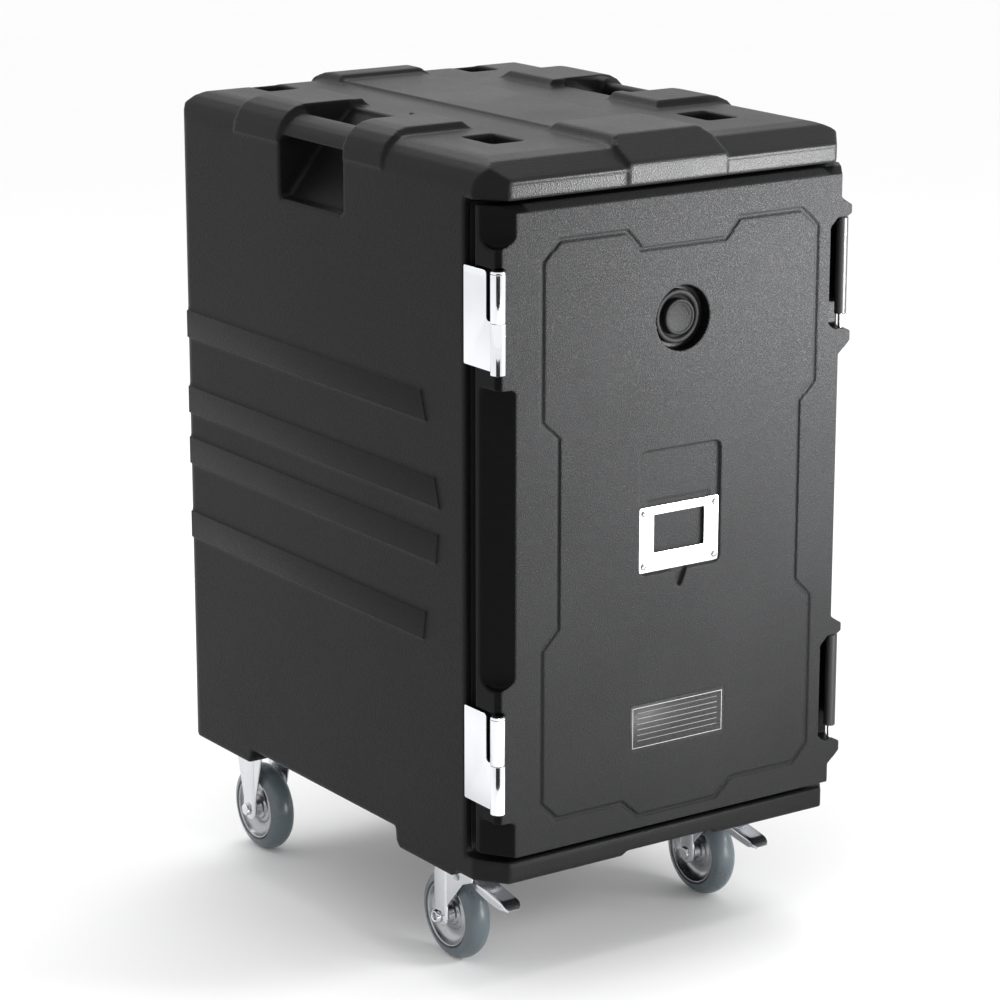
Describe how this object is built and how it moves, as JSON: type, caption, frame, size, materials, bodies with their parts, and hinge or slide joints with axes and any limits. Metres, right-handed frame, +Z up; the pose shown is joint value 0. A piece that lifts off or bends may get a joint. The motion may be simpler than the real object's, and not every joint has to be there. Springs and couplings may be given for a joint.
{
  "type": "insulated food carrier",
  "caption": "Tall end-loading insulated food pan carrier on casters, with a hinged latched door, side grips, a menu card holder and a vent button.",
  "frame": {"origin": "bottom centre of the bounding box, on the floor the wheels stand on", "axes": "+Z up, the door faces -Y, +X is to the right seen from the door side; the door hinges on -X and latches on +X"},
  "size_m": [0.4715, 0.6319, 0.897],
  "materials": {
    "shell_plastic": "grained",
    "liner_plastic": "fine grained",
    "foam": "foam",
    "gasket_rubber": "matte",
    "nylon": "satin",
    "hinge_chrome": "polished",
    "pin_steel": "polished",
    "frame_steel": "brushed",
    "label_foil": "satin",
    "zinc_plate": "bright zinc",
    "rim_metal": "satin",
    "tyre_grey": "soft matte"
  },
  "bodies": {
    "body": {"body_shell": "shell_plastic", "body_foam": "foam", "inner_liner": "liner_plastic", "pan_rack_left": "liner_plastic", "pan_rack_right": "liner_plastic", "hinge_body_leaf_upper": "hinge_chrome", "hinge_body_leaf_lower": "hinge_chrome", "hinge_pin_upper": "pin_steel", "hinge_pin_lower": "pin_steel", "latch_keeper_upper": "nylon", "latch_keeper_lower": "nylon", "caster_plate_fl": "zinc_plate", "caster_plate_fr": "zinc_plate", "caster_fork_rl": "zinc_plate", "caster_fork_rr": "zinc_plate", "axle_bolt_rl": "zinc_plate", "axle_bolt_rr": "zinc_plate"},
    "door": {"door_shell": "shell_plastic", "door_foam": "foam", "door_liner": "liner_plastic", "door_gasket": "gasket_rubber", "hinge_door_leaf_upper": "hinge_chrome", "hinge_door_leaf_lower": "hinge_chrome", "latch_pin_upper": "pin_steel", "latch_pin_lower": "pin_steel", "vent_housing": "shell_plastic", "menu_frame": "frame_steel", "menu_screw_1": "frame_steel", "menu_screw_2": "frame_steel", "menu_screw_3": "frame_steel", "menu_screw_4": "frame_steel", "label_plate": "label_foil"},
    "latch_upper": {"latch_lever_upper": "nylon"},
    "latch_lower": {"latch_lever_lower": "nylon"},
    "vent_button": {"vent_cap": "nylon"},
    "swivel_fl": {"caster_fork_fl": "zinc_plate", "axle_bolt_fl": "zinc_plate", "pedal_pin_fl": "pin_steel"},
    "swivel_fr": {"caster_fork_fr": "zinc_plate", "axle_bolt_fr": "zinc_plate", "pedal_pin_fr": "pin_steel"},
    "wheel_fl": {"tyre_fl": "tyre_grey", "wheel_rim_fl": "rim_metal"},
    "wheel_fr": {"tyre_fr": "tyre_grey", "wheel_rim_fr": "rim_metal"},
    "wheel_rl": {"tyre_rl": "tyre_grey", "wheel_rim_rl": "rim_metal"},
    "wheel_rr": {"tyre_rr": "tyre_grey", "wheel_rim_rr": "rim_metal"},
    "pedal_fl": {"brake_pedal_fl": "zinc_plate"},
    "pedal_fr": {"brake_pedal_fr": "zinc_plate"}
  },
  "joints": [
    {"name": "door_hinge", "type": "hinge", "parent": "body", "child": "door", "pos_m": [-0.228, -0.3082, 0.5], "axis": [0, 0, -1], "range_deg": [0, 180]},
    {"name": "latch_upper_pivot", "type": "hinge", "parent": "door", "child": "latch_upper", "pos_m": [0.213, -0.3012, 0.741], "axis": [0, 0, -1], "range_deg": [0, 100]},
    {"name": "latch_lower_pivot", "type": "hinge", "parent": "door", "child": "latch_lower", "pos_m": [0.213, -0.3012, 0.286], "axis": [0, 0, -1], "range_deg": [0, 100]},
    {"name": "vent_turn", "type": "hinge", "parent": "door", "child": "vent_button", "pos_m": [0, -0.3082, 0.711], "axis": [0, 1, 0], "range_deg": [0, 90]},
    {"name": "swivel_fl", "type": "hinge", "parent": "body", "child": "swivel_fl", "pos_m": [-0.166, -0.1757, 0.1175], "axis": [0, 0, 1], "continuous": true},
    {"name": "swivel_fr", "type": "hinge", "parent": "body", "child": "swivel_fr", "pos_m": [0.166, -0.1757, 0.1175], "axis": [0, 0, 1], "continuous": true},
    {"name": "wheel_spin_fl", "type": "hinge", "parent": "swivel_fl", "child": "wheel_fl", "pos_m": [-0.166, -0.1407, 0.05075], "axis": [1, 0, 0], "continuous": true},
    {"name": "wheel_spin_fr", "type": "hinge", "parent": "swivel_fr", "child": "wheel_fr", "pos_m": [0.166, -0.1407, 0.05075], "axis": [1, 0, 0], "continuous": true},
    {"name": "wheel_spin_rl", "type": "hinge", "parent": "body", "child": "wheel_rl", "pos_m": [-0.166, 0.2608, 0.05075], "axis": [1, 0, 0], "continuous": true},
    {"name": "wheel_spin_rr", "type": "hinge", "parent": "body", "child": "wheel_rr", "pos_m": [0.166, 0.2608, 0.05075], "axis": [1, 0, 0], "continuous": true},
    {"name": "pedal_fl", "type": "hinge", "parent": "swivel_fl", "child": "pedal_fl", "pos_m": [-0.166, -0.1717, 0.1035], "axis": [1, 0, 0], "range_deg": [0, 8]},
    {"name": "pedal_fr", "type": "hinge", "parent": "swivel_fr", "child": "pedal_fr", "pos_m": [0.166, -0.1717, 0.1035], "axis": [1, 0, 0], "range_deg": [0, 8]}
  ]
}
